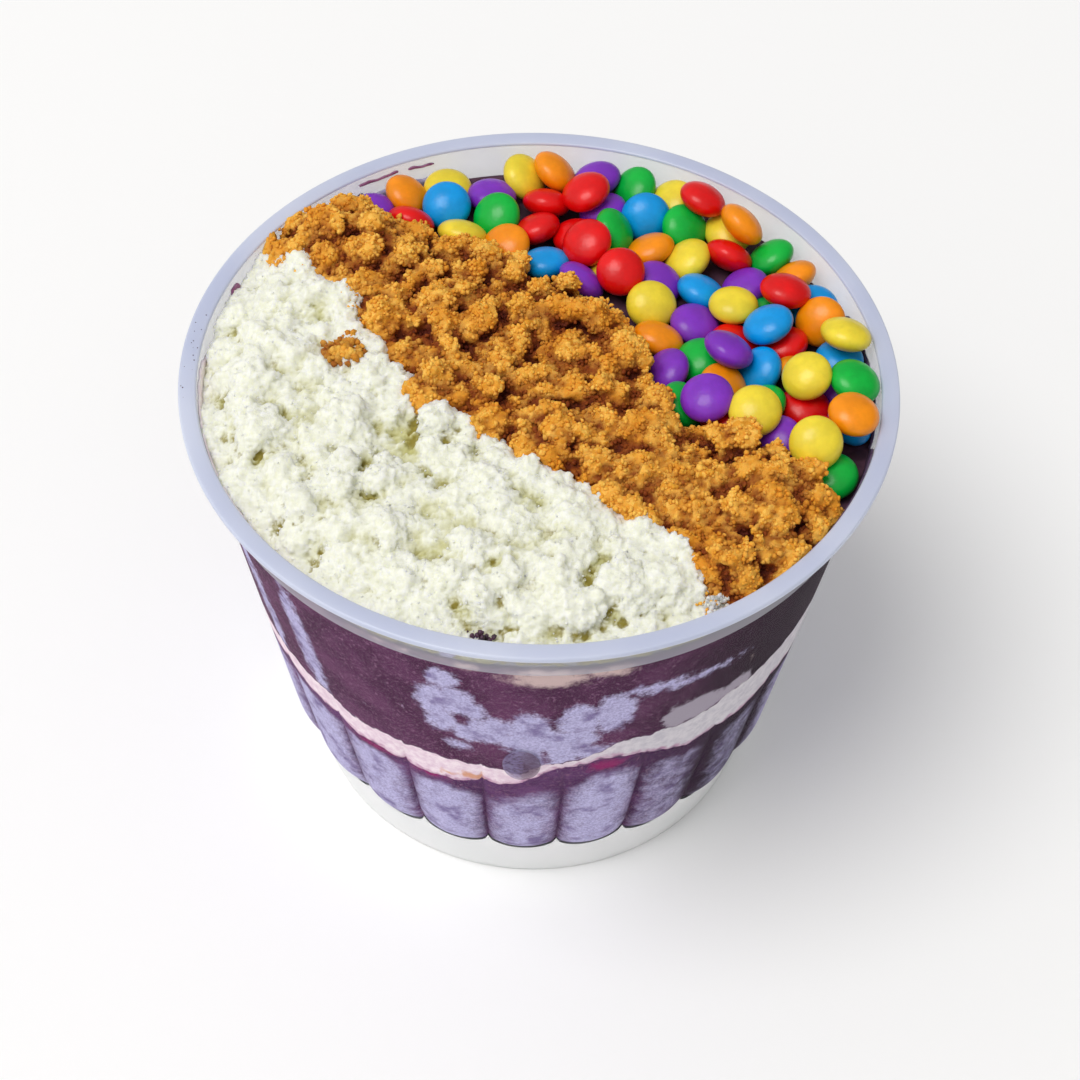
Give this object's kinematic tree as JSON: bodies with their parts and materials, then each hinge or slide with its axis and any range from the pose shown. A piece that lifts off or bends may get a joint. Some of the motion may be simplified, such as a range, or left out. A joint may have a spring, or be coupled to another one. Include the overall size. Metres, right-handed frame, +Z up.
{
  "type": "acai bowl",
  "caption": "Fluted plastic tub of frozen acai with a cream layer, topped by stripes of milk powder, peanut crumble and sugar-coated chocolate buttons.",
  "frame": {"origin": "centre of the tub's foot, on the surface that it stands on", "axes": "+Z up along the tub's axis; -Y towards the viewer, the milk powder in front and to the left, the chocolate buttons behind and to the right"},
  "size_m": [0.12, 0.12, 0.0981],
  "materials": {
    "tub_plastic": "thin milky translucent moulded plastic, slightly glossy",
    "acai_pulp": "frozen dark purple pulp with lavender frost patches",
    "cream": "smooth pinkish white cream",
    "milk_powder": "loose creamy white powder in soft lumps",
    "peanut_crumble": "golden brown crumbs in rough clumps",
    "sugar_shell": "glossy sugar shells in purple, green, blue, yellow, orange and red"
  },
  "bodies": {
    "root": {"tub": "tub_plastic", "acai_lower": "acai_pulp", "acai_upper": "acai_pulp", "cream_layer": "cream", "milk_powder": "milk_powder", "peanut_crumble": "peanut_crumble", "candies": "sugar_shell"}
  },
  "joints": []
}
